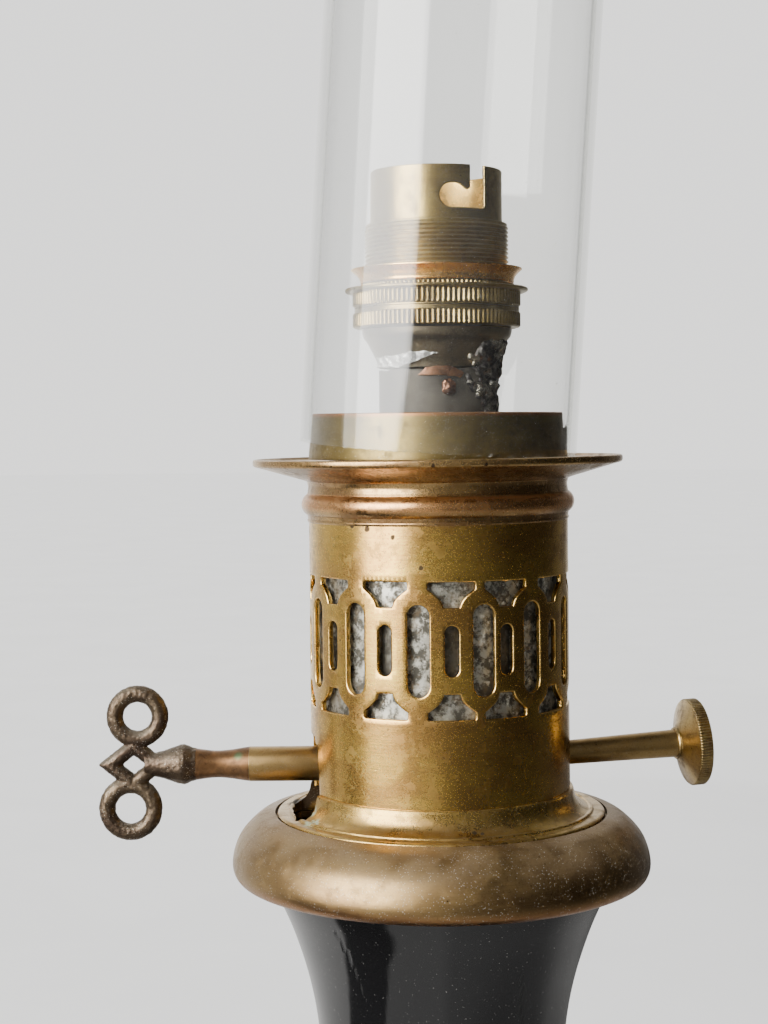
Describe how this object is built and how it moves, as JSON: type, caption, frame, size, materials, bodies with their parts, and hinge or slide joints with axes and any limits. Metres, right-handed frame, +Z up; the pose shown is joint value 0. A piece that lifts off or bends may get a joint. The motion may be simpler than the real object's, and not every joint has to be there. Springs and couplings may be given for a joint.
{
  "type": "oil lamp",
  "caption": "Spring-piston oil lamp converted to electricity: black vase on a brass foot, pierced brass gallery with winding key and wick knob, bayonet lampholder, glass chimney.",
  "frame": {"origin": "centre of the base pad's underside, on the lamp's axis, on the table", "axes": "+Z up along the lamp's axis, -Y the front, -X towards the winding key, +X towards the wick knob"},
  "size_m": [0.14, 0.142, 0.6327],
  "materials": {
    "base_felt": "felt",
    "foot_brass": "aged, satin",
    "vase_glaze": "black, glossy",
    "collar_brass": "aged, dusty",
    "body_brass": "aged, rubbed bright in places",
    "flange_brass": "aged, reddish brown",
    "seat_ring_brass": "dusty, dull",
    "tinplate": "mottled, dull",
    "burner_tin": "dark, dull",
    "chimney_glass": "clear",
    "key_casting": "dark cast, rubbed high spots",
    "key_sleeve_brass": "satin",
    "knob_brass": "dirty, knurled",
    "holder_brass": "dull, dusty",
    "shade_ring_copper": "brown sheet",
    "mechanism_brass": "turned",
    "mechanism_steel": "bare",
    "piston_leather": "oiled",
    "gasket_cork": "cork",
    "contact_insulator": "moulded, dark brown",
    "solder": "lumpy",
    "outlet_rubber": "matt"
  },
  "bodies": {
    "lamp": {"base_pad": "base_felt", "foot_shell": "foot_brass", "foot_stud": "mechanism_steel", "foot_nut": "mechanism_steel", "cable_bush": "outlet_rubber", "vase": "vase_glaze", "collar": "collar_brass", "collar_gasket": "gasket_cork", "neck_clamp_ring": "mechanism_steel", "reservoir_base": "tinplate", "reservoir_can": "tinplate", "reservoir_neck": "tinplate", "reservoir_lid": "tinplate", "standpipe": "tinplate", "standpipe_head": "mechanism_brass", "oil_feed_tube": "tinplate", "moderator_needle": "mechanism_brass", "gallery_body": "body_brass", "gallery_flange": "flange_brass", "chimney_seat_ring": "seat_ring_brass", "inner_sleeve": "tinplate", "burner_base": "mechanism_brass", "burner_outer_tube": "burner_tin", "burner_inner_tube": "burner_tin", "burner_spider": "mechanism_brass", "wick_bush": "mechanism_brass", "arbor_bearing": "mechanism_brass", "bearing_screw_front": "mechanism_steel", "bearing_screw_back": "mechanism_steel", "lampholder_cap": "holder_brass", "union_ring": "holder_brass", "lampholder_barrel": "holder_brass", "contact_block": "contact_insulator", "terminal_screw_left": "mechanism_brass", "terminal_screw_right": "mechanism_brass", "solder_joint": "solder"},
    "chimney": {"chimney": "chimney_glass"},
    "winding_key": {"key_handle": "key_casting", "key_sleeve": "key_sleeve_brass", "key_arbor": "mechanism_steel", "winding_pinion": "mechanism_brass"},
    "piston": {"piston_washer": "mechanism_brass", "piston_leather": "piston_leather", "piston_plate": "mechanism_brass", "piston_nut": "mechanism_steel", "piston_spring": "mechanism_steel", "piston_rack": "mechanism_brass", "riser_tube": "mechanism_brass"},
    "wick_knob": {"wick_knob": "knob_brass", "wick_shaft": "knob_brass", "wick_pinion": "mechanism_brass"},
    "wick_carrier": {"wick_carrier": "mechanism_brass", "wick_rack": "mechanism_brass"},
    "shade_ring": {"shade_ring": "shade_ring_copper"},
    "clamp_ring": {"clamp_ring": "holder_brass"},
    "plunger_left": {"plunger_left": "mechanism_brass", "plunger_spring_left": "mechanism_steel"},
    "plunger_right": {"plunger_right": "mechanism_brass", "plunger_spring_right": "mechanism_steel"}
  },
  "joints": [
    {"name": "chimney_lift", "type": "slide", "parent": "lamp", "child": "chimney", "axis": [0.0636, -0.0348, 0.9974], "range_m": [0, 0.06]},
    {"name": "key_turn", "type": "hinge", "parent": "lamp", "child": "winding_key", "pos_m": [-0.0366, 0, 0.3111], "axis": [1, 0, 0], "range_deg": [0, 802]},
    {"name": "piston_lift", "type": "slide", "parent": "lamp", "child": "piston", "axis": [0, 0, 1], "range_m": [0, 0.0559], "deforming": ["piston_spring"]},
    {"name": "wick_turn", "type": "hinge", "parent": "lamp", "child": "wick_knob", "pos_m": [0, 0, 0.31093], "axis": [-0.9839, -0.1735, -0.0436], "range_deg": [0, 275]},
    {"name": "wick_lift", "type": "slide", "parent": "lamp", "child": "wick_carrier", "axis": [0, 0, 1], "range_m": [0, 0.0119]},
    {"name": "ring_rise", "type": "slide", "parent": "lamp", "child": "shade_ring", "axis": [0, 0, 1], "range_m": [0, 0.00599]},
    {"name": "ring_turn", "type": "hinge", "parent": "shade_ring", "child": "clamp_ring", "pos_m": [0, 0, 0.4], "axis": [0, 0, 1], "range_deg": [0, 2700]},
    {"name": "plunger_left_press", "type": "slide", "parent": "lamp", "child": "plunger_left", "axis": [0, 0, 1], "range_m": [-0.0035, 0], "stiffness_N_per_m": 400, "springref_m": 0.001, "deforming": ["plunger_spring_left"]},
    {"name": "plunger_right_press", "type": "slide", "parent": "lamp", "child": "plunger_right", "axis": [0, 0, 1], "range_m": [-0.0035, 0], "stiffness_N_per_m": 400, "springref_m": 0.001, "deforming": ["plunger_spring_right"]}
  ],
  "couplings": [
    {"joint": "key_turn", "follows": "piston_lift", "rad_per_m": 250},
    {"joint": "wick_turn", "follows": "wick_lift", "rad_per_m": 400},
    {"joint": "ring_turn", "follows": "ring_rise", "rad_per_m": 7854}
  ]
}
